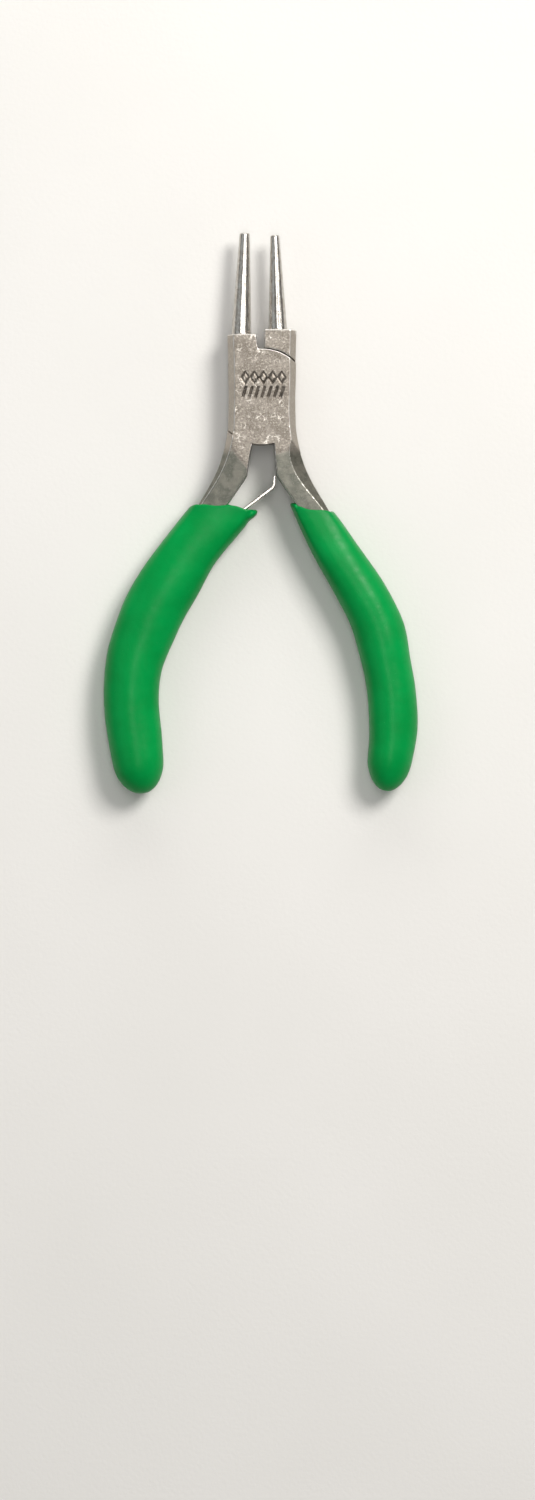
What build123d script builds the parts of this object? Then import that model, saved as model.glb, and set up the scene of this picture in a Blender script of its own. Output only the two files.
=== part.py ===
from build123d import *
import os

# Mini round nose pliers with a lap joint, dipped grips and a leaf spring.
# Millimetres. The Z axis is the pivot axis and Z = 0 is the rear ground face of the joint.
# +Y points to the jaw tips, +X to the right as seen from the front (from +Z).
# The tool is drawn at rest, held slightly open by its spring.

# ---- lap joint ----
joint_thickness = 6.0
mid_z = joint_thickness / 2
lap_gap = 0.02
shoulder_half_width = 5.40
waist_half_width = 5.20
root_half_width = 5.30
disc_radius = 7.40
lower_disc_radius = 7.50
pocket_radius = 7.55
bevel_width = 0.9
bevel_depth = 1.7

# ---- rivet through the joint ----
rivet_radius = 1.9
rivet_head_radius = 2.5
rivet_clearance = 0.03

# ---- jaws: a cone on each shoulder ----
cone_tip_round = 0.3
cone_root_depth = 0.6

# ---- the two halves, each given as seen with its own plate towards the viewer: jaw left, tang right ----
front_side = {
    "shoulder_y": 9.62,
    "notch_x": (-0.63, -0.92),
    "crotch_x": 1.88,
    "jaw_x": (-3.23, -2.70),
    "jaw_tip_y": 25.58,
    "jaw_radii": (1.60, 0.78),
}
rear_side = {
    "shoulder_y": 10.40,
    "notch_x": (-0.38, -0.38),
    "crotch_x": 1.50,
    "jaw_x": (-2.47, -2.00),
    "jaw_tip_y": 25.25,
    "jaw_radii": (1.50, 0.70),
}

# ---- tang and the handle bar inside the grip, the same on both halves ----
tang_inner = [(2.10, -10.5), (2.30, -12.3), (2.75, -13.1), (5.35, -16.9)]
bar_inner = [(7.4, -20.2), (9.4, -24.0), (11.6, -27.7), (14.2, -32.6), (16.2, -37.8), (18.0, -44.1), (18.4, -53.0)]
tang_root_y = -4.9
tang_outer = [(5.90, -8.3), (7.50, -12.7), (9.90, -16.9)]
bar_outer = [(12.7, -21.9), (16.2, -27.2), (18.9, -32.0), (20.8, -37.2), (22.1, -43.0), (22.4, -53.0)]
bar_thickness = 3.8

# ---- each tang thins from the joint down to its bar: start point, direction and slope of both faces ----
plate_side_slope = ((2.0, -8.6), (0.30, -0.954), 0.085)
pocket_side_slope = ((5.30, -6.9), (0.783, -0.622), 0.11)

# ---- wide bevel down the outside of the tang on the plate side ----
tang_bevel_line = [(5.35, -5.2), (4.55, -7.0), (4.20, -9.3), (4.95, -12.4), (6.9, -15.7), (9.3, -19.4)]
tang_bevel_reach = 4.0
tang_bevel_fall = 3.6

# ---- vinyl grips: spine points and half widths across the handle ----
left_spine = [(-2.9, -14.0), (-5.6, -17.2), (-8.3, -20.4), (-11.0, -23.8), (-14.2, -28.7),
              (-16.9, -33.4), (-18.5, -37.2), (-19.9, -41.3), (-20.4, -45.5), (-20.3, -49.2),
              (-19.9, -52.9), (-19.5, -56.2)]
left_widths = [4.2, 4.25, 4.3, 4.35, 4.75, 4.85, 4.75, 4.5, 4.35, 4.33, 4.25, 4.05]
right_spine = [(6.3, -14.4), (7.1, -16.4), (8.7, -19.4), (11.7, -24.4), (14.3, -28.6),
               (17.1, -33.5), (18.4, -37.0), (19.5, -41.6), (20.3, -46.8), (20.5, -51.0), (20.2, -55.4)]
right_widths = [2.7, 2.75, 2.95, 3.45, 3.65, 3.95, 4.0, 3.85, 3.8, 3.82, 3.6]
left_tip = (-18.45, -62.1)
right_tip = (19.3, -61.7)
grip_half_thickness = 3.95
left_mouth = ((-12.0, -17.1), (0.0, -17.75))
right_mouth = ((4.0, -16.7), (12.0, -17.9))
end_cap_shares = (0.35, 0.62, 0.82, 0.94, 0.99)

# ---- leaf spring ----
leaf_thickness = 0.45
leaf_width = 3.6
leaf_path = [(1.98, -12.45), (1.86, -14.10), (-7.78, -21.45), (-10.88, -26.65)]
leaf_bend_radii = [1.0, 4.0]

# ---- rivet that holds the leaf ----
spring_rivet_radius = 0.7
spring_rivet_head_radius = 1.15
spring_rivet_head_height = 0.5
spring_rivet_depth = 2.2
spring_rivet_from_bend = 3.9

# ---- cutting tools reach well past the part ----
beyond = 70.0
edge_match = 0.02


def on_circle(radius, x, sign):
    """Point of the circle round the pivot at this x, on its upper (+1) or lower (-1) side."""
    return (x, sign * (radius**2 - x**2) ** 0.5)


def half_outline(shoulder_y, notch_x, crotch_x):
    """Edges of one half: shoulder, jaw flank, plate edge, tang and bar, flank again, plate edge, notch."""
    notch_floor = on_circle(disc_radius, notch_x[0], 1)
    notch_top = (notch_x[1], shoulder_y)
    shoulder = Line(notch_top, (-shoulder_half_width, shoulder_y))
    jaw_flank_end = on_circle(lower_disc_radius, -root_half_width, -1)
    jaw_flank = Spline(shoulder @ 1, (-waist_half_width, 0), jaw_flank_end)
    crotch = on_circle(lower_disc_radius, crotch_x, -1)
    lower_edge = ThreePointArc(jaw_flank_end, (0, -lower_disc_radius), crotch)
    neck = Spline(crotch, tang_inner[0], tang_inner[1])
    knee = Line(tang_inner[1], tang_inner[2])
    inner = Spline(tang_inner[2], tang_inner[3], *bar_inner)
    bar_end = Line(bar_inner[-1], bar_outer[-1])
    tang_flank_top = on_circle(disc_radius, root_half_width, 1)
    tang_root = (root_half_width, tang_root_y)
    outer = Spline(*reversed(bar_outer), *reversed(tang_outer), tang_root, (waist_half_width, 0), tang_flank_top)
    upper_edge = ThreePointArc(tang_flank_top, on_circle(disc_radius, root_half_width / 2, 1), notch_floor)
    wall = Line(notch_floor, notch_top)
    flanks = [jaw_flank, outer]
    return [shoulder, lower_edge, neck, knee, inner, bar_end, upper_edge, wall] + flanks, flanks


def slope_cutter(slope_start, direction, slope):
    """What a sloping front face takes off: it falls from the joint's thickness to the bar's."""
    fall = (joint_thickness - bar_thickness) / 2
    run = fall / slope
    across = Plane(
        origin=(*slope_start, joint_thickness),
        x_dir=(*direction, 0),
        z_dir=(direction[1], -direction[0], 0),
    )
    outline = Polyline((0, 0), (run, -fall), (beyond, -fall), (beyond, fall), (0, fall), close=True)
    return extrude(across * make_face(outline), amount=beyond, both=True)


def tang_bevel_cutter():
    """What the wide bevel takes off: a triangle swept down the tang."""
    line = Spline(*[(x, y, joint_thickness) for x, y in tang_bevel_line])
    outward = Plane(origin=line @ 0, z_dir=line % 0, x_dir=(line % 0).cross(Vector(0, 0, 1)) * -1)
    triangle = Polyline((0, 0), (tang_bevel_reach, -tang_bevel_fall), (tang_bevel_reach, 1), (0, 1), close=True)
    return sweep(outward * make_face(triangle), path=line)


def bevelled(prism, curves):
    """Chamfers the front and rear edges of the prism that run along these outline curves."""
    for side in (-1, 0):
        face = prism.faces().sort_by(Axis.Z)[side]
        edges = []
        for edge in face.edges():
            flat = Vertex((edge @ 0.5).X, (edge @ 0.5).Y, 0)
            if min(curve.distance_to(flat) for curve in curves) < edge_match:
                edges.append(edge)
        prism = chamfer(edges, bevel_width, bevel_depth, reference=face)
    return prism


def rivet_blank(clearance):
    """The rivet's shape with its two countersunk heads, swollen by a clearance to make its bore."""
    shank = Cylinder(rivet_radius + clearance, joint_thickness, align=(Align.CENTER, Align.CENTER, Align.MIN))
    depth = rivet_head_radius - rivet_radius
    sink = Cone(rivet_radius + clearance, rivet_head_radius + clearance, depth,
                align=(Align.CENTER, Align.CENTER, Align.MIN))
    front = Pos(0, 0, joint_thickness - depth) * sink
    rear = Pos(0, 0, joint_thickness) * Rot(180, 0, 0) * front
    return shank + front + rear


def jaw_cone(base, tip, base_radius, tip_radius):
    """Tapered round jaw with a rounded tip, rooted inside its shoulder."""
    base_point, tip_point = Vector(*base, mid_z), Vector(*tip, mid_z)
    direction = (tip_point - base_point).normalized()
    length = (tip_point - base_point).length
    root = Plane(origin=base_point - direction * cone_root_depth, z_dir=direction)
    cone = Solid.make_cone(base_radius, tip_radius, length + cone_root_depth, plane=root)
    rim = cone.edges().sort_by(Axis.Y)[-1]
    return fillet(rim, cone_tip_round)


def half(side, bore_clearance):
    """One forged half with its plate at the front."""
    shoulder_y = side["shoulder_y"]
    edges, flanks = half_outline(shoulder_y, side["notch_x"], side["crotch_x"])
    prism = extrude(make_face(edges), amount=joint_thickness)
    blank = bevelled(prism, flanks) - slope_cutter(*plate_side_slope) - tang_bevel_cutter()
    blank = blank - Pos(0, 0, joint_thickness) * mirror(slope_cutter(*pocket_side_slope), Plane.XY)
    pocket_depth = mid_z + lap_gap / 2
    pocket = Cylinder(pocket_radius, pocket_depth, align=(Align.CENTER, Align.CENTER, Align.MIN))
    base_x, tip_x = side["jaw_x"]
    jaw = jaw_cone((base_x, shoulder_y), (tip_x, side["jaw_tip_y"]), *side["jaw_radii"])
    return blank - pocket - rivet_blank(bore_clearance) + jaw


def turned_over(shape):
    """The same shape turned half a turn about the tool's long axis."""
    return Pos(0, 0, joint_thickness) * Rot(0, 180, 0) * shape


def leaf():
    """Bent steel strip: free tip on the right tang, then straight into the grip, then flat on the bar."""
    path = FilletPolyline(*leaf_path, radius=leaf_bend_radii)
    section = Plane(origin=path @ 0, z_dir=path % 0, x_dir=(0, 0, 1)) * Rectangle(leaf_width, leaf_thickness)
    return Pos(0, 0, mid_z) * sweep(section, path=path)


def leaf_rivet():
    """Round rivet through the leaf into the bar, with a flat head under the vinyl."""
    bend, end = Vector(*leaf_path[-2]), Vector(*leaf_path[-1])
    along = (end - bend).normalized()
    outward = Vector(-along.Y, along.X, 0)
    centre = bend + along * spring_rivet_from_bend + Vector(0, 0, mid_z)
    root = Plane(origin=centre - outward * spring_rivet_depth, z_dir=outward)
    seat = Plane(origin=centre + outward * leaf_thickness / 2, z_dir=outward)
    length = spring_rivet_depth + leaf_thickness / 2
    shank = Solid.make_cylinder(spring_rivet_radius, length, plane=root)
    head = Solid.make_cylinder(spring_rivet_head_radius, spring_rivet_head_height, plane=seat)
    return shank + head


def grip_blank(spine, widths, tip):
    """Outer shape of a dipped sleeve: ellipses along the spine, closed by a rounded end."""
    points = [Vector(*p, mid_z) for p in spine]
    end = Vector(*tip, mid_z)
    sections = []
    for i, point in enumerate(points):
        before = points[max(i - 1, 0)]
        after = points[i + 1] if i + 1 < len(points) else end
        plane = Plane(origin=point, z_dir=after - before, x_dir=(0, 0, 1))
        sections.append(plane * Ellipse(grip_half_thickness, widths[i]))
    run = end - points[-1]
    for share in end_cap_shares:
        scale_here = (1 - share**2) ** 0.5
        plane = Plane(origin=points[-1] + run * share, z_dir=run, x_dir=(0, 0, 1))
        sections.append(plane * Ellipse(grip_half_thickness * scale_here, widths[-1] * scale_here))
    return loft(sections)


def above_mouth(mouth):
    """Everything above the line where the dip ends."""
    (x0, y0), (x1, y1) = mouth
    left, right = x0 - beyond, x1 + beyond
    outline = Polyline((left, y0), (x0, y0), (x1, y1), (right, y1), (right, beyond), (left, beyond), close=True)
    return Pos(0, 0, mid_z) * extrude(make_face(outline), amount=beyond, both=True)


def write(shape, node):
    shape.label = node
    export_step(shape, f"parts/{node}.step")


os.makedirs("parts", exist_ok=True)

leaf_spring = leaf()
spring_rivet = leaf_rivet()
pivot_rivet = rivet_blank(0)
front_half = half(front_side, rivet_clearance)
rear_half = half(rear_side, 0)
rear_half = turned_over(rear_half) - leaf_spring - spring_rivet
leaf_spring = leaf_spring - spring_rivet
left_grip = grip_blank(left_spine, left_widths, left_tip) - above_mouth(left_mouth)
left_grip = left_grip - rear_half - leaf_spring - spring_rivet
right_grip = grip_blank(right_spine, right_widths, right_tip) - above_mouth(right_mouth) - front_half

write(front_half, "front_half")
write(rear_half, "rear_half")
write(pivot_rivet, "pivot_rivet")
write(left_grip, "left_grip")
write(right_grip, "right_grip")
write(leaf_spring, "leaf_spring")
write(spring_rivet, "spring_rivet")
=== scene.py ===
import math

import bmesh
import bpy
import numpy as np
from mathutils import Matrix, Vector
from mathutils.bvhtree import BVHTree


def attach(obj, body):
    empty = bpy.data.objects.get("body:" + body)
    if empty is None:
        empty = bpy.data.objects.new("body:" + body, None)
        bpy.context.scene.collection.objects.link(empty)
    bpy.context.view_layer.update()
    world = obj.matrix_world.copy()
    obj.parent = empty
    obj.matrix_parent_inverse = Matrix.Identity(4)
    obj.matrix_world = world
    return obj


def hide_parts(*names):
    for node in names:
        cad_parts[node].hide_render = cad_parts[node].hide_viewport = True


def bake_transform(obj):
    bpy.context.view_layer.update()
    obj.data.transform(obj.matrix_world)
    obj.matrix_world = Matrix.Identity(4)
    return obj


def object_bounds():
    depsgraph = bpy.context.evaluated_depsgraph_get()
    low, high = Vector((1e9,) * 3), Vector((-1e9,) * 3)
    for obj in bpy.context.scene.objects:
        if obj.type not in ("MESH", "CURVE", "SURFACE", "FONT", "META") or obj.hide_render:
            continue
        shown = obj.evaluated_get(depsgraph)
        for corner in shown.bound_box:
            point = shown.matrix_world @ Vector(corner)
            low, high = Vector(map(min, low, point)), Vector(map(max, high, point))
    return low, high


# Looks of the mini round nose pliers. Shapes are worked out in millimetres in the CAD frame (Z is the
# pivot axis, Z = 0 the rear ground face, +Y to the jaw tips) and stored in metres.
MM = 0.001
SEED = 7
crease_degrees = 42
merge_distance = 0.002

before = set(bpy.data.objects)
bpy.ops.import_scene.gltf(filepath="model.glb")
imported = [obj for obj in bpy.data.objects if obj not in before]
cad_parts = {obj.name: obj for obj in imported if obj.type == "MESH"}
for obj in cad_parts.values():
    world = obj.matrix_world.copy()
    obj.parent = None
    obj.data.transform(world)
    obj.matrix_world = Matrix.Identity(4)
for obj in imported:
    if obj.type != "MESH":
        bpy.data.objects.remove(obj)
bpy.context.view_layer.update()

# ---- the joint ----
joint_front = 6.0
mid_z = joint_front / 2
disc_radius = 7.50
pocket_radius = 7.55
lower_arc_y = -4.4
crotch_half = 2.2
joint_zone = 7.8

# ---- where the cones, the ground joint faces and the tangs begin and end in y ----
cone_from, cone_full = 9.5, 9.9
ground_full_to, ground_to = 10.5, 10.6
tang_full_from, tang_from = -9.5, -7.5
tang_face_from = -6
hammered_from, hammered_full_from = -8.0, -11.0

# ---- their depths in z: the cones' from the middle, the ground look's from a face ----
cone_half_full, cone_half = 1.7, 1.8
ground_depth_full, ground_depth = 0.03, 0.07

# ---- the faint unevenness of the tangs ----
hammered_height = 0.008
hammered_pitch = 3.5
hammered_draws = 14

# ---- softened steel edges: agreement is the cosine between the softened and the sharp surface ----
steel_facet = 0.1
edge_rounds = 14
edge_agreement = 0.93
flat_agreement = 0.985
edge_loss = 0.003
ground_skin = 0.25

# ---- crisp rims at the foot of the lap joint ----
disc_rim_gain = 0.015
pocket_rim_loss = 0.02
rim_depth = 0.22
rim_outside = 0.08
rim_inside = 0.4
rim_snap = 0.09
rim_facing = 0.35
rim_unhighlighted = 0.3

# ---- the rivet: heads spread over the bore's rim, and the seats sunk for them in the forgings ----
head_radius = 2.80
smear_height = 0.003
lip_depth = 0.15
under_head_radius = 2.30
shank_depth = 0.70
seat_radius = 2.62
seat_depth = 0.30
flat_round_bore = 3.2
bore_rim_depth = 0.2
bore_rim_facing = 0.2
rivet_zone = 3.0
head_tolerance = 0.001
head_rings = 36
head_steps = 200

# ---- the stamped mark ----
mark_sink = 0.12
mark_sink_under_head = 0.20
lozenges = {"count": 5, "first_x": -2.65, "pitch": 1.42, "y": 2.85, "half_width": 0.55, "half_height": 0.85}
bars = {"count": 7, "first_x": -2.75, "pitch": 0.98, "y": 0.60, "half_width": 0.17, "half_height": 0.80}
bar_slant = 0.3
lozenge_fade = (0.36, 0.12)
bar_fade = (1.3, 0.8)
face_skin = 0.03
face_facing = 0.9

# ---- the grips ----
bar_half = 2.35
vinyl_facet = 0.2
vinyl_rounds = 5
settling_rounds = 10
clinging_rounds = 2
lip_share = 0.36
lip_run = 15.0
lip_power = 0.8
lip_shift_reach = 2.5
ripple = {"wavelength": 3.4, "draws": 8}
ripple_height = 0.1
swell = {"wavelength": 9.0, "draws": 12}
swell_height = 0.05
swell_from, swell_full_from = 1, 6
cling_reach = 1.6
cling_gap = 0.35
cling_sink = 0.03
thin_reach = 2.2

# ---- the leaf spring ----
leaf_corners = ((1.98, -12.45), (1.86, -14.10), (-7.78, -21.45), (-10.88, -26.65))
leaf_bend_radii = (1.0, 4.0)
leaf_width = 3.6
leaf_thickness = 0.45
leaf_edge_radius = 0.14
straight_steps = 14
bend_steps = 10
edge_steps = 4

# ---- floor, light and camera: lengths in metres ----
floor_size = 3.0
floor_middle_y = -0.03
horizon_glow = 0.29
overhead_glow = 0.18
overhead_from = 0.8
glow_tint = (0.80, 0.78, 0.75, 1)
camera_height = 1.2
view_middle = (0.00086, -0.0552)
view_height = 0.2344


# ======================================================================== mesh helpers

def joined_in_mm(*meshes):
    """One mesh of all these, with split edges joined again."""
    bm = bmesh.new()
    for mesh in meshes:
        bm.from_mesh(mesh)
    bmesh.ops.remove_doubles(bm, verts=bm.verts, dist=merge_distance)
    joined = bpy.data.meshes.new("joined")
    bm.to_mesh(joined)
    bm.free()
    return joined


def node_in_mm(node):
    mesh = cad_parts[node].data.copy()
    mesh.transform(Matrix.Scale(1 / MM, 4))
    return joined_in_mm(mesh)


def modified(mesh, facet, rounds):
    """A copy of the mesh, rebuilt with even facets of that size unless it is None, and then smoothed."""
    maker = bpy.data.objects.new("maker", mesh)
    bpy.context.scene.collection.objects.link(maker)
    if facet:
        remesh = maker.modifiers.new("even", "REMESH")
        remesh.mode = "VOXEL"
        remesh.voxel_size = facet
    smooth = maker.modifiers.new("round", "SMOOTH")
    smooth.factor = 0.5
    smooth.iterations = rounds
    graph = bpy.context.evaluated_depsgraph_get()
    made = bpy.data.meshes.new_from_object(maker.evaluated_get(graph))
    bpy.data.objects.remove(maker)
    return made


def points_of(mesh):
    points = np.empty(len(mesh.vertices) * 3, np.float32)
    mesh.vertices.foreach_get("co", points)
    return points.reshape(-1, 3).astype(float)


def normals_of(mesh):
    normals = np.empty(len(mesh.vertices) * 3, np.float32)
    mesh.vertex_normals.foreach_get("vector", normals)
    return normals.reshape(-1, 3).astype(float)


def set_points(mesh, points):
    mesh.vertices.foreach_set("co", points.astype(np.float32).ravel())
    mesh.update()


def surface_of(mesh):
    corners = [vertex.co.copy() for vertex in mesh.vertices]
    return BVHTree.FromPolygons(corners, [tuple(polygon.vertices) for polygon in mesh.polygons])


def attribute(mesh, name, values):
    made = mesh.attributes.new(name, "FLOAT", "POINT")
    made.data.foreach_set("value", np.asarray(values, np.float32))


def smoothstep(low, high, x):
    t = np.clip((x - low) / (high - low), 0, 1)
    return t * t * (3 - 2 * t)


def unevenness(points, wavelength, draws):
    """Smooth random field of about -1 to 1 over the points: waves in many directions."""
    rng = np.random.default_rng(SEED + int(wavelength * 100))
    total = np.zeros(len(points))
    for _ in range(draws):
        direction = rng.normal(size=3)
        direction /= np.linalg.norm(direction)
        length = wavelength * rng.uniform(0.7, 1.6)
        total += np.sin(points @ direction * (2 * math.pi / length) + rng.uniform(0, 2 * math.pi))
    return total / math.sqrt(draws)


def piece(name, mesh, body, material, slot, *nodes):
    """Puts a mesh made in millimetres into the scene. It rides on the body, unless that is None."""
    mesh.transform(Matrix.Scale(MM, 4))
    mesh.materials.clear()
    mesh.materials.append(material)
    mesh.shade_smooth()
    mesh.set_sharp_from_angle(angle=math.radians(crease_degrees))
    made = bpy.data.objects.new(name, mesh)
    bpy.context.scene.collection.objects.link(made)
    if body:
        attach(made, body)
    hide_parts(*nodes)
    return made


# ======================================================================== materials

class Shader:
    """A node material built by short calls; its coordinates are the frame's millimetres."""

    def __init__(self, name, **settings):
        self.material = bpy.data.materials.new(name)
        self.material.use_nodes = True
        self.tree = self.material.node_tree
        self.surface = self.tree.nodes["Principled BSDF"]
        for key, value in settings.items():
            socket = key.replace("_", " ").title().replace("Ior", "IOR")
            self.surface.inputs[socket].default_value = value
        texture = self.add("ShaderNodeTexCoord")
        self.place = self.vector_math("SCALE", {0: texture.outputs["Object"], "Scale": 1 / MM})
        self.xyz = self.add("ShaderNodeSeparateXYZ", {0: self.place}).outputs

    def add(self, kind, inputs=None, **settings):
        node = self.tree.nodes.new(kind)
        for key, value in settings.items():
            setattr(node, key, value)
        for key, value in (inputs or {}).items():
            if isinstance(value, bpy.types.NodeSocket):
                self.tree.links.new(value, node.inputs[key])
            else:
                node.inputs[key].default_value = value
        return node

    def vector_math(self, operation, inputs):
        return self.add("ShaderNodeVectorMath", inputs, operation=operation).outputs[0]

    def stretched(self, x, y, z):
        return self.vector_math("MULTIPLY", {0: self.place, 1: (x, y, z)})

    def noise(self, scale, detail=3.0, place=None):
        inputs = {"Vector": place or self.place, "Scale": scale, "Detail": detail}
        return self.add("ShaderNodeTexNoise", inputs).outputs[0]

    def bent(self, scale, amount):
        """The coordinates pushed about by noise, for squiggly marks."""
        inputs = {"Vector": self.place, "Scale": scale, "Detail": 2.0}
        push = self.add("ShaderNodeTexNoise", inputs).outputs[1]
        centred = self.vector_math("SUBTRACT", {0: push, 1: (0.5, 0.5, 0.5)})
        scaled = self.vector_math("SCALE", {0: centred, "Scale": amount})
        return self.vector_math("ADD", {0: self.place, 1: scaled})

    def cells(self, scale, feature, place=None):
        inputs = {"Vector": place or self.place, "Scale": scale}
        return self.add("ShaderNodeTexVoronoi", inputs, feature=feature).outputs[0]

    def ramp(self, value, low, high, start=0.0, end=1.0):
        inputs = {0: value, 1: low, 2: high, 3: start, 4: end}
        return self.add("ShaderNodeMapRange", inputs, interpolation_type="SMOOTHSTEP").outputs[0]

    def math(self, operation, a, b=0.0):
        return self.add("ShaderNodeMath", {0: a, 1: b}, operation=operation).outputs[0]

    def mix(self, share, a, b):
        return self.add("ShaderNodeMix", {0: share, 6: a, 7: b}, data_type="RGBA").outputs[2]

    def blend(self, share, a, b):
        return self.add("ShaderNodeMix", {0: share, 2: a, 3: b}, data_type="FLOAT").outputs[0]

    def painted(self, name):
        return self.add("ShaderNodeAttribute", attribute_name=name).outputs["Fac"]

    def finish(self, base, roughness, height, depth):
        """Links the colour, the roughness and a bump of that depth in millimetres."""
        bump = self.add("ShaderNodeBump", {"Height": height, "Distance": depth * MM, "Strength": 1.0})
        self.tree.links.new(base, self.surface.inputs["Base Color"])
        self.tree.links.new(roughness, self.surface.inputs["Roughness"])
        self.tree.links.new(bump.outputs[0], self.surface.inputs["Normal"])
        return self.material


def colour(red, green, blue):
    """Linear colour from sRGB levels of 0 to 255."""
    shares = [level / 255 for level in (red, green, blue)]
    linear = [((v + 0.055) / 1.055) ** 2.4 if v > 10 / 255 else v / 12.92 for v in shares]
    return (*linear, 1.0)


stamp_shadow = colour(58, 50, 43)


def ground_finish(s, ground):
    """A ground face: warm grey, cloudy, with pits, curled scratches and bright grains.

    Gives its colour and its height, and the scratches and the grains by themselves.
    """
    cloudy = s.noise(0.55, 4.0)
    grain = s.noise(7.0, 4.0)
    base = s.mix(s.ramp(cloudy, 0.35, 0.65), colour(119, 112, 103), colour(137, 130, 121))
    base = s.mix(s.ramp(s.noise(3.4, 5.0), 0.52, 0.66, 0.0, 0.55), base, colour(190, 182, 171))
    base = s.mix(s.ramp(s.noise(2.9, 5.0), 0.36, 0.49, 0.6, 0.0), base, colour(98, 90, 81))
    base = s.mix(s.ramp(grain, 0.5, 0.75), base, colour(176, 168, 158))
    pits = s.math("MULTIPLY", s.ramp(s.cells(2.2, "F1"), 0.0, 0.16, 1.0, 0.0), ground)
    pits = s.math("MULTIPLY", pits, s.ramp(s.noise(0.9, 2.0), 0.45, 0.6))
    curls = s.ramp(s.cells(0.8, "DISTANCE_TO_EDGE", s.bent(0.9, 1.8)), 0.0, 0.09, 1.0, 0.0)
    curls = s.math("MULTIPLY", curls, s.ramp(s.noise(0.7, 2.0), 0.53, 0.66))
    curls = s.math("MULTIPLY", curls, ground)
    base = s.mix(s.math("MULTIPLY", pits, 0.45), base, colour(86, 78, 70))
    base = s.mix(s.math("MULTIPLY", curls, 0.5), base, colour(230, 223, 212))
    height = s.math("SUBTRACT", s.math("MULTIPLY", grain, 0.5), s.math("MULTIPLY", pits, 0.8))
    return base, s.math("ADD", height, s.math("MULTIPLY", curls, 0.5)), curls, grain


def forged_steel():
    """Ground joint faces with scratches, satin cones and tumbled tangs, with a painted highlight on the
    edges.
    """
    s = Shader("forged steel", metallic=1.0)
    y, z = s.xyz[1], s.xyz[2]
    off_centre = s.math("ABSOLUTE", s.math("SUBTRACT", z, mid_z))
    polished = s.ramp(y, cone_from, cone_full)
    polished = s.math("MULTIPLY", polished, s.ramp(off_centre, cone_half_full, cone_half, 1.0, 0.0))
    ground = s.ramp(off_centre, mid_z - ground_depth, mid_z - ground_depth_full)
    ground = s.math("MULTIPLY", ground, s.ramp(y, ground_to, ground_full_to))
    edge = s.painted("edge")
    mark = s.painted("mark")
    ground_base, ground_height, curls, grain = ground_finish(s, ground)

    tumbled = s.mix(s.ramp(s.noise(0.8, 4.0), 0.35, 0.65), colour(103, 104, 95), colour(128, 126, 116))
    tumbled = s.mix(s.ramp(grain, 0.5, 0.8), tumbled, colour(158, 154, 145))
    # painted highlight: the bevels and sides near the joint get a lighter tone than the ground face, standing
    # in for the light they catch
    bevel_with_painted_light = s.mix(0.45, ground_base, colour(205, 197, 187))
    near_joint = s.mix(ground, bevel_with_painted_light, ground_base)
    base = s.mix(s.math("MAXIMUM", ground, s.ramp(y, tang_full_from, tang_from)), tumbled, near_joint)
    satin = s.mix(s.ramp(s.noise(1.4, 4.0), 0.4, 0.62), colour(200, 197, 192), colour(184, 178, 170))
    base = s.mix(polished, base, satin)
    base = s.mix(s.math("MULTIPLY", mark, 0.75), base, stamp_shadow)
    # painted highlight: near-white along the rounded edges, standing in for the light they catch
    base = s.mix(s.math("MULTIPLY", edge, 0.9), base, colour(252, 249, 244))

    lines = s.noise(1.0, 2.0, s.stretched(9.0, 0.25, 9.0))
    matt = s.math("SUBTRACT", s.ramp(grain, 0.3, 0.7, 0.38, 0.52), s.math("MULTIPLY", curls, 0.15))
    shine = s.ramp(lines, 0.3, 0.7, 0.20, 0.30)
    rough = s.blend(polished, matt, shine)
    rough = s.math("SUBTRACT", rough, s.math("MULTIPLY", edge, 0.1))
    height = s.blend(polished, ground_height, s.math("MULTIPLY", lines, 0.2))
    return s.finish(base, rough, height, 0.02)


def rivet_steel():
    """Rivet ends, finished like the ground joint faces around them."""
    s = Shader("rivet steel", metallic=1.0)
    base, height, _, grain = ground_finish(s, 1.0)
    base = s.mix(s.math("MULTIPLY", s.painted("mark"), 0.75), base, stamp_shadow)
    return s.finish(base, s.ramp(grain, 0.3, 0.7, 0.38, 0.52), height, 0.02)


def spring_steel():
    """Bright rolled strip with fine lines along it."""
    s = Shader("spring steel", metallic=1.0)
    lines = s.noise(1.0, 3.0, s.stretched(0.6, 0.6, 14.0))
    cloudy = s.noise(1.3, 3.0)
    base = s.mix(s.ramp(cloudy, 0.35, 0.7), colour(226, 218, 208), colour(246, 240, 232))
    base = s.mix(s.ramp(lines, 0.5, 0.8, 0.0, 0.5), base, colour(196, 188, 178))
    return s.finish(base, s.ramp(lines, 0.3, 0.7, 0.22, 0.38), lines, 0.01)


def grip_vinyl():
    """Dipped green vinyl: smooth, slightly uneven, with pale specks of dust."""
    s = Shader("green vinyl", specular_ior_level=0.12)
    cloudy = s.noise(0.16, 3.0)
    peel = s.noise(0.9, 2.0)
    fine = s.noise(5.0, 3.0)
    specks = s.ramp(s.cells(1.5, "F1"), 0.02, 0.055, 1.0, 0.0)
    specks = s.math("MULTIPLY", specks, s.ramp(s.noise(0.5, 1.0), 0.5, 0.6))
    thin = s.painted("thin")
    base = s.mix(s.ramp(cloudy, 0.3, 0.7), colour(0, 136, 60), colour(0, 147, 68))
    base = s.mix(s.ramp(fine, 0.55, 0.8, 0.0, 0.25), base, colour(4, 160, 78))
    base = s.mix(s.math("MULTIPLY", thin, 0.25), base, colour(0, 118, 58))
    base = s.mix(s.math("MULTIPLY", specks, 0.5), base, colour(120, 205, 150))
    rough = s.ramp(peel, 0.3, 0.7, 0.30, 0.40)
    height = s.math("ADD", peel, s.math("MULTIPLY", fine, 0.25))
    return s.finish(base, rough, height, 0.03)


# ======================================================================== steel halves

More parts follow.
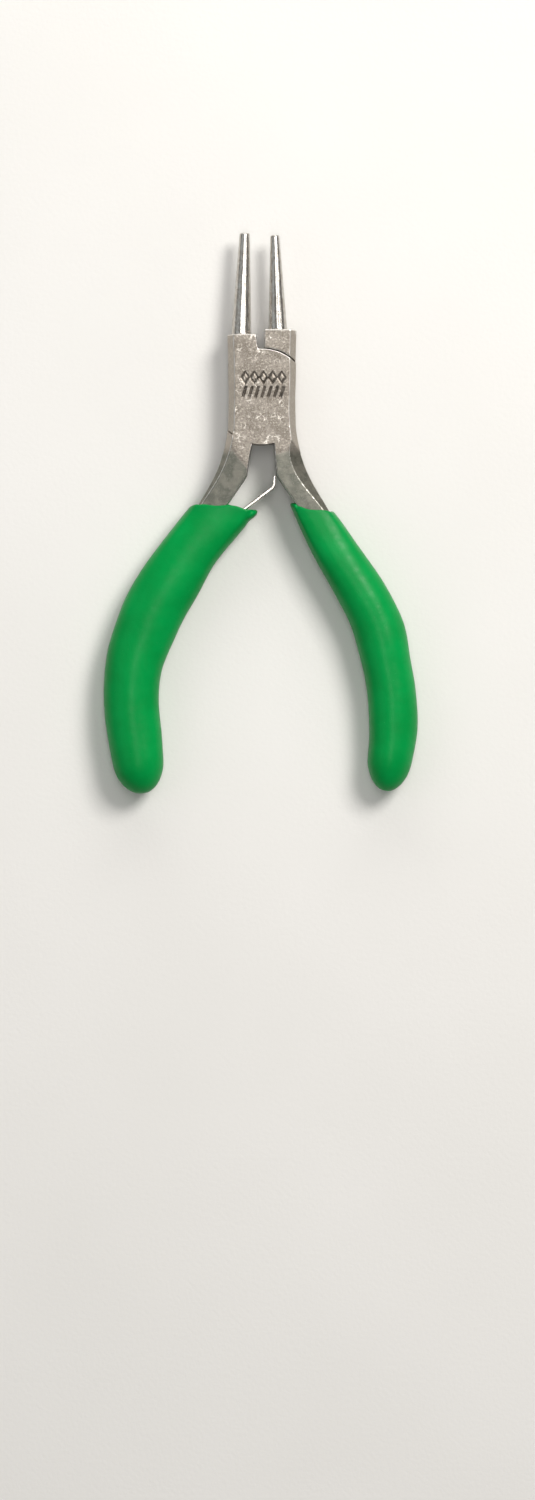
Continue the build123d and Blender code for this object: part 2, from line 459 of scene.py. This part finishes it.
def mark_depth(points):
    """Depth from 0 to 1 of a plain stamped pattern: a row of lozenges over a row of slanted bars."""
    x, y = points[:, 0], points[:, 1]
    depth = np.zeros(len(points))
    for column in range(lozenges["count"]):
        across = x - (lozenges["first_x"] + column * lozenges["pitch"])
        up = y - lozenges["y"]
        lozenge = np.abs(across) / lozenges["half_width"] + np.abs(up) / lozenges["half_height"]
        depth = np.maximum(depth, smoothstep(*lozenge_fade, np.abs(lozenge - 1)))
    for column in range(bars["count"]):
        up = y - bars["y"]
        across = x - (bars["first_x"] + column * bars["pitch"]) - up * bar_slant
        bar = np.maximum(np.abs(across) / bars["half_width"], np.abs(up) / bars["half_height"])
        depth = np.maximum(depth, smoothstep(*bar_fade, bar))
    return depth


def lap_rims(points, tang_side):
    """Where, radius, target radius and outward sign of the two rims at the foot of the lap joint.

    They are the rim of the half's own disc, and that of the pocket in its tang for the other disc.
    tang_side is the sign of x at its tang.
    """
    side = np.sign(points[:, 2] - mid_z) * tang_side
    across = points[:, 0] * tang_side
    low = points[:, 1] < lower_arc_y
    return (
        (low & (side > 0) & (across < crotch_half), disc_radius, disc_radius + disc_rim_gain, 1),
        (low & (side < 0) & (across > 0), pocket_radius, pocket_radius - pocket_rim_loss, -1),
    )


def sharpened_rim(points, normals, where, radius, target, outward):
    """Brings the flat ground face back to a crisp rim on a circle round the pivot."""
    off_centre = points[:, 2] - mid_z
    r = np.hypot(points[:, 0], points[:, 1])
    beyond = (r - radius) * outward
    near = where & (np.abs(off_centre) > mid_z - rim_depth) & (beyond < rim_outside) & (beyond > -rim_inside)
    up = near & (np.abs(normals[:, 2]) > rim_facing)
    points[up, 2] = mid_z + np.sign(off_centre[up]) * mid_z
    rim = up & (np.abs(beyond) < rim_snap)
    points[rim, :2] *= (target / r[rim])[:, None]


def stamped(mesh, points, normals, depth):
    """Sinks the mark into the front ground face by that depth at each point."""
    on_face = (points[:, 2] > joint_front - face_skin) & (normals[:, 2] > face_facing)
    mark = np.where(on_face, mark_depth(points), 0)
    points[:, 2] -= mark * depth
    attribute(mesh, "mark", mark)


def seated_round_bore(points, normals):
    """Ground faces flat again where smoothing rounded them into the bore, and sunk under the heads."""
    off_centre = points[:, 2] - mid_z
    r = np.hypot(points[:, 0], points[:, 1])
    flush = (r < flat_round_bore) & (np.abs(off_centre) > mid_z - bore_rim_depth)
    flush &= np.abs(normals[:, 2]) > bore_rim_facing
    points[flush, 2] = mid_z + np.sign(off_centre[flush]) * mid_z
    seat = (r < seat_radius) & (np.abs(off_centre) > mid_z - seat_depth)
    points[seat, 2] = mid_z + np.sign(off_centre[seat]) * (mid_z - seat_depth)


def back_on_surface(points, normals, sharp):
    """Puts the flats and the cones back on the sharp CAD surface. The edges stay rounded.

    Gives the share of rounding at each point, and 0 where the rounding took no metal off.
    """
    surface = surface_of(sharp)
    hits = [surface.find_nearest(Vector(point)) for point in points]
    places = np.array([hit[0] for hit in hits])
    facings = np.array([hit[1] for hit in hits])
    agreement = np.sum(normals * facings, axis=1)
    worn_off = np.sum((places - points) * facings, axis=1) > edge_loss
    points += (places - points) * smoothstep(edge_agreement, flat_agreement, agreement)[:, None]
    return np.where(worn_off, smoothstep(flat_agreement, edge_agreement, agreement), 0)


def painted_edge_highlight(points, normals, roundness, rims):
    """Share of painted highlight: the outer edges, but not those at the rivet, inside the joint or at its
    foot.

    The flat faces of the tangs have none either.
    """
    r = np.hypot(points[:, 0], points[:, 1])
    in_joint = (r < joint_zone) & (np.abs(points[:, 2] - mid_z) < mid_z - ground_skin)
    at_rivet = r < rivet_zone
    at_lower_arc = (np.abs(r - disc_radius) < rim_unhighlighted) & (rims[0][0] | rims[1][0])
    on_tang_face = (np.abs(normals[:, 2]) > edge_agreement) & (points[:, 1] < tang_face_from)
    return np.where(in_joint | at_rivet | at_lower_arc | on_tang_face, 0, roundness)


def steel_piece(node, tang_side):
    """A steel node with softened edges, crisp rims at the foot of the joint, and a faintly uneven tang."""
    mesh = modified(node_in_mm(node), steel_facet, edge_rounds)
    points, normals = points_of(mesh), normals_of(mesh)
    roundness = back_on_surface(points, normals, node_in_mm(node))
    rims = lap_rims(points, tang_side)
    # the edge attribute carries the share of painted highlight along the rounded edges
    attribute(mesh, "edge", painted_edge_highlight(points, normals, roundness, rims))
    for rim in rims:
        sharpened_rim(points, normals, *rim)
    seated_round_bore(points, normals)
    hammered = smoothstep(hammered_from, hammered_full_from, points[:, 1]) * hammered_height
    points += normals * (unevenness(points, hammered_pitch, hammered_draws) * hammered)[:, None]
    under_head = np.hypot(points[:, 0], points[:, 1]) < rivet_zone
    stamped(mesh, points, normals, np.where(under_head, mark_sink_under_head, mark_sink))
    set_points(mesh, points)
    return mesh


def smeared_rivet():
    """The rivet turned about the pivot, its heads spread over the bore's rim and all but flush."""
    plain = points_of(node_in_mm("pivot_rivet"))
    shank_radius = np.hypot(plain[:, 0], plain[:, 1]).min()
    flush = mid_z + smear_height
    profile = [(head_radius * ring / head_rings, flush) for ring in range(1, head_rings + 1)]
    profile += [(head_radius, flush - lip_depth), (under_head_radius, flush - seat_depth)]
    profile += [(shank_radius, flush - shank_depth)]
    profile += [(radius, -height) for radius, height in reversed(profile)]
    turns = [2 * math.pi * step / head_steps for step in range(head_steps)]
    bm = bmesh.new()
    rings = [
        [bm.verts.new((radius * math.cos(a), radius * math.sin(a), mid_z + height)) for a in turns]
        for radius, height in profile
    ]
    front = bm.verts.new((0, 0, mid_z + flush))
    rear = bm.verts.new((0, 0, mid_z - flush))
    for i in range(head_steps):
        j = (i + 1) % head_steps
        bm.faces.new((front, rings[0][i], rings[0][j]))
        bm.faces.new((rear, rings[-1][j], rings[-1][i]))
        for a, b in zip(rings, rings[1:]):
            bm.faces.new((a[i], b[i], b[j], a[j]))
    mesh = bpy.data.meshes.new("rivet")
    bm.to_mesh(mesh)
    bm.free()
    points, normals = points_of(mesh), normals_of(mesh)
    on_head = np.abs(points[:, 2] - mid_z) > flush - head_tolerance
    normals[:, 2] = np.where(on_head, 1, normals[:, 2])
    stamped(mesh, points, normals, mark_sink)
    set_points(mesh, points)
    return mesh


steel = forged_steel()
piece("front_forging", steel_piece("front_half", 1), "front_lever", steel, "forged_steel", "front_half")
piece("rear_forging", steel_piece("rear_half", -1), "rear_lever", steel, "forged_steel", "rear_half")
piece("flush_rivet", smeared_rivet(), "rear_lever", rivet_steel(), "rivet_steel", "pivot_rivet")
strip_steel = spring_steel()
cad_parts["spring_rivet"].data.materials.clear()
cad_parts["spring_rivet"].data.materials.append(strip_steel)


# ======================================================================== grips

def lip_nub(centre, direction, half_sizes):
    """A small ellipsoid with its long axis along that direction, seen from the front."""
    along = Vector((*direction, 0)).normalized()
    across = Vector((-along.y, along.x, 0))
    axes = (along * half_sizes[0], across * half_sizes[1], Vector((0, 0, half_sizes[2])))
    turn = Matrix(axes).transposed().to_4x4()
    bm = bmesh.new()
    bmesh.ops.create_icosphere(bm, subdivisions=4, radius=1.0)
    bmesh.ops.transform(bm, matrix=Matrix.Translation(centre) @ turn, verts=bm.verts)
    nub = bpy.data.meshes.new("nub")
    bm.to_mesh(nub)
    bm.free()
    return nub


def clung(points, near, forging):
    """Draws the points at the lip just under the surface of the tang, where it is close."""
    tang = surface_of(forging)
    for i in np.nonzero(near)[0]:
        place, normal, _, distance = tang.find_nearest(Vector(points[i]))
        if distance < cling_gap:
            points[i] = place - normal * cling_sink


def dipped_grip(node, forging, lip_shifts, mouth, *nubs):
    """A vinyl sleeve that thins towards its mouth and clings to the tang there.

    mouth is the line of the lip, by two of its points. lip_shifts says how far above it the lip is at some x.
    """
    mesh = modified(joined_in_mm(node_in_mm(node), *nubs), vinyl_facet, vinyl_rounds)
    points, normals = points_of(mesh), normals_of(mesh)
    (x0, y0), (x1, y1) = mouth
    line = y0 + (points[:, 0] - x0) * (y1 - y0) / (x1 - x0)
    below = np.clip(line - points[:, 1], 0, None)

    thick = lip_share + (1 - lip_share) * smoothstep(0, lip_run, below) ** lip_power
    off_centre = points[:, 2] - mid_z
    over_bar = np.clip(np.abs(off_centre) - bar_half, 0, None)
    points[:, 2] -= np.sign(off_centre) * over_bar * (1 - thick)

    shift = np.interp(points[:, 0], [x for x, _ in lip_shifts], [up for _, up in lip_shifts])
    shift += unevenness(points * (1, 0, 1), **ripple) * ripple_height
    points[:, 1] += shift * np.exp(-below / lip_shift_reach)
    swelling = swell_height * smoothstep(swell_from, swell_full_from, below)
    points += normals * (unevenness(points, **swell) * swelling)[:, None]

    set_points(mesh, points)
    mesh = modified(mesh, None, settling_rounds)
    points = points_of(mesh)
    clung(points, below < cling_reach, forging)
    set_points(mesh, points)
    mesh = modified(mesh, None, clinging_rounds)
    attribute(mesh, "thin", 1 - smoothstep(0, thin_reach, below))
    return mesh


left_sleeve = dipped_grip(
    "left_grip", node_in_mm("rear_half"),
    [(-12.0, 0.1), (-8.4, 0.4), (-5.8, 0.37), (-3.8, 0.24), (-2.66, -0.1), (-0.7, 0.0)],
    ((-12.0, -17.1), (0.0, -17.75)),
    lip_nub(centre=(-1.75, -18.55, mid_z), direction=(0.795, 0.606), half_sizes=(1.35, 0.6, 2.2)),
)
right_sleeve = dipped_grip(
    "right_grip", node_in_mm("front_half"),
    [(4.5, 0.0), (7.0, -0.4), (8.5, -0.3), (9.6, -0.2), (12.0, 0.0)],
    ((4.0, -16.7), (12.0, -17.9)),
)
vinyl = grip_vinyl()
piece("left_sleeve", left_sleeve, "rear_lever", vinyl, "grip_vinyl", "left_grip")
piece("right_sleeve", right_sleeve, "front_lever", vinyl, "grip_vinyl", "right_grip")


# ======================================================================== leaf spring

def leaf_line():
    """Points on the middle line of the strip, from its end at the tang, with the corners rounded."""
    corners = [Vector(corner) for corner in leaf_corners]
    line = []

    def straight(a, b):
        for i in range(straight_steps):
            line.append(a.lerp(b, i / straight_steps))

    start = corners[0]
    for corner, following, radius in zip(corners[1:-1], corners[2:], leaf_bend_radii):
        into = (corner - start).normalized()
        out = (following - corner).normalized()
        turn = into.angle_signed(out)
        cut = radius * math.tan(abs(turn) / 2)
        begin = corner - into * cut
        straight(start, begin)
        side = -math.copysign(1, turn)
        centre = begin + Vector((-into.y, into.x)) * radius * side
        arm = begin - centre
        for i in range(bend_steps):
            line.append(centre + Matrix.Rotation(-turn * i / bend_steps, 2) @ arm)
        start = corner + out * cut
    straight(start, corners[-1])
    line.append(corners[-1])
    return line


def strip_section():
    """Outline across the strip: places along its thickness and its width, with rounded edges."""
    section = []
    for thick_side, wide_side, first_degrees in ((1, 1, 0), (-1, 1, 90), (-1, -1, 180), (1, -1, 270)):
        for step in range(edge_steps + 1):
            angle = math.radians(first_degrees + step * 90 / edge_steps)
            section.append((
                thick_side * (leaf_thickness / 2 - leaf_edge_radius) + leaf_edge_radius * math.cos(angle),
                wide_side * (leaf_width / 2 - leaf_edge_radius) + leaf_edge_radius * math.sin(angle),
            ))
    return section


def strip():
    """The leaf: its section carried along its line, and closed flat at both ends."""
    line = leaf_line()
    section = strip_section()
    bm = bmesh.new()
    rings = []
    for i, point in enumerate(line):
        before, after = line[max(i - 1, 0)], line[min(i + 1, len(line) - 1)]
        along = (after - before).normalized()
        side = Vector((-along.y, along.x))
        ring = []
        for thick, wide in section:
            flat = point + side * thick
            ring.append(bm.verts.new((flat.x, flat.y, mid_z + wide)))
        rings.append(ring)
    for a, b in zip(rings, rings[1:]):
        for i in range(len(section)):
            j = (i + 1) % len(section)
            bm.faces.new((a[i], a[j], b[j], b[i]))
    bm.faces.new(list(reversed(rings[0])))
    bm.faces.new(rings[-1])
    bmesh.ops.recalc_face_normals(bm, faces=bm.faces)
    mesh = bpy.data.meshes.new("strip")
    bm.to_mesh(mesh)
    bm.free()
    return mesh


leaf = piece("spring_strip", strip(), None, strip_steel, "spring_steel", "leaf_spring")
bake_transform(leaf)


# ======================================================================== floor, light and camera

def floor_material():
    s = Shader("floor", specular_ior_level=0.3)
    cloudy = s.noise(0.02, 3.0)
    grain = s.noise(1.5, 3.0)
    base = s.mix(cloudy, colour(226, 224, 220), colour(236, 234, 231))
    return s.finish(base, s.ramp(grain, 0.3, 0.7, 0.6, 0.75), grain, 0.03)


low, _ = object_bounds()
bpy.ops.mesh.primitive_plane_add(size=floor_size, location=(0, floor_middle_y, low.z))
floor = bpy.context.object
floor.name = "floor"
floor.data.materials.append(floor_material())


def area_light(name, place, target, size, watts, tint):
    """A rectangular lamp at a place, turned to a target."""
    data = bpy.data.lights.new(name, "AREA")
    data.shape = "RECTANGLE"
    data.size, data.size_y = size
    data.energy = watts
    data.color = tint
    lamp = bpy.data.objects.new(name, data)
    lamp.location = place
    lamp.rotation_euler = (Vector(target) - Vector(place)).to_track_quat("-Z", "Y").to_euler()
    bpy.context.scene.collection.objects.link(lamp)


area_light("top", (0.0, 0.5, 0.22), (0, 0, 0), size=(0.6, 0.2), watts=1.3, tint=(1.0, 0.99, 0.97))
area_light("key", (0.32, 0.30, 0.55), (0, -0.02, 0), size=(0.26, 0.26), watts=4.1, tint=(1.0, 0.98, 0.95))
area_light("strip", (0.0, 0.0, 0.75), (0, 0, 0), size=(0.16, 0.5), watts=1.3, tint=(1.0, 1.0, 1.0))
area_light("fill", (-0.45, 0.0, 0.40), (0, 0, 0), size=(0.5, 0.4), watts=0.3, tint=(0.90, 0.97, 1.0))


def studio_glow():
    """A dim warm surround, a little brighter at the horizon than overhead."""
    world = bpy.data.worlds.new("studio")
    world.use_nodes = True
    nodes, links = world.node_tree.nodes, world.node_tree.links
    background = nodes["Background"]
    background.inputs[0].default_value = glow_tint
    sky = nodes.new("ShaderNodeTexCoord")
    height = nodes.new("ShaderNodeSeparateXYZ")
    fade = nodes.new("ShaderNodeMapRange")
    for socket, value in zip(fade.inputs[1:5], (0.0, overhead_from, horizon_glow, overhead_glow)):
        socket.default_value = value
    links.new(sky.outputs["Generated"], height.inputs[0])
    links.new(height.outputs[2], fade.inputs[0])
    links.new(fade.outputs[0], background.inputs[1])
    return world


bpy.context.scene.world = studio_glow()
bpy.context.scene.view_settings.view_transform = "Standard"

camera_data = bpy.data.cameras.new("camera")
camera_data.sensor_width = 36.0
camera_data.lens = camera_height * camera_data.sensor_width / view_height
camera = bpy.data.objects.new("camera", camera_data)
camera.location = (*view_middle, mid_z * MM + camera_height)
bpy.context.scene.collection.objects.link(camera)
bpy.context.scene.camera = camera
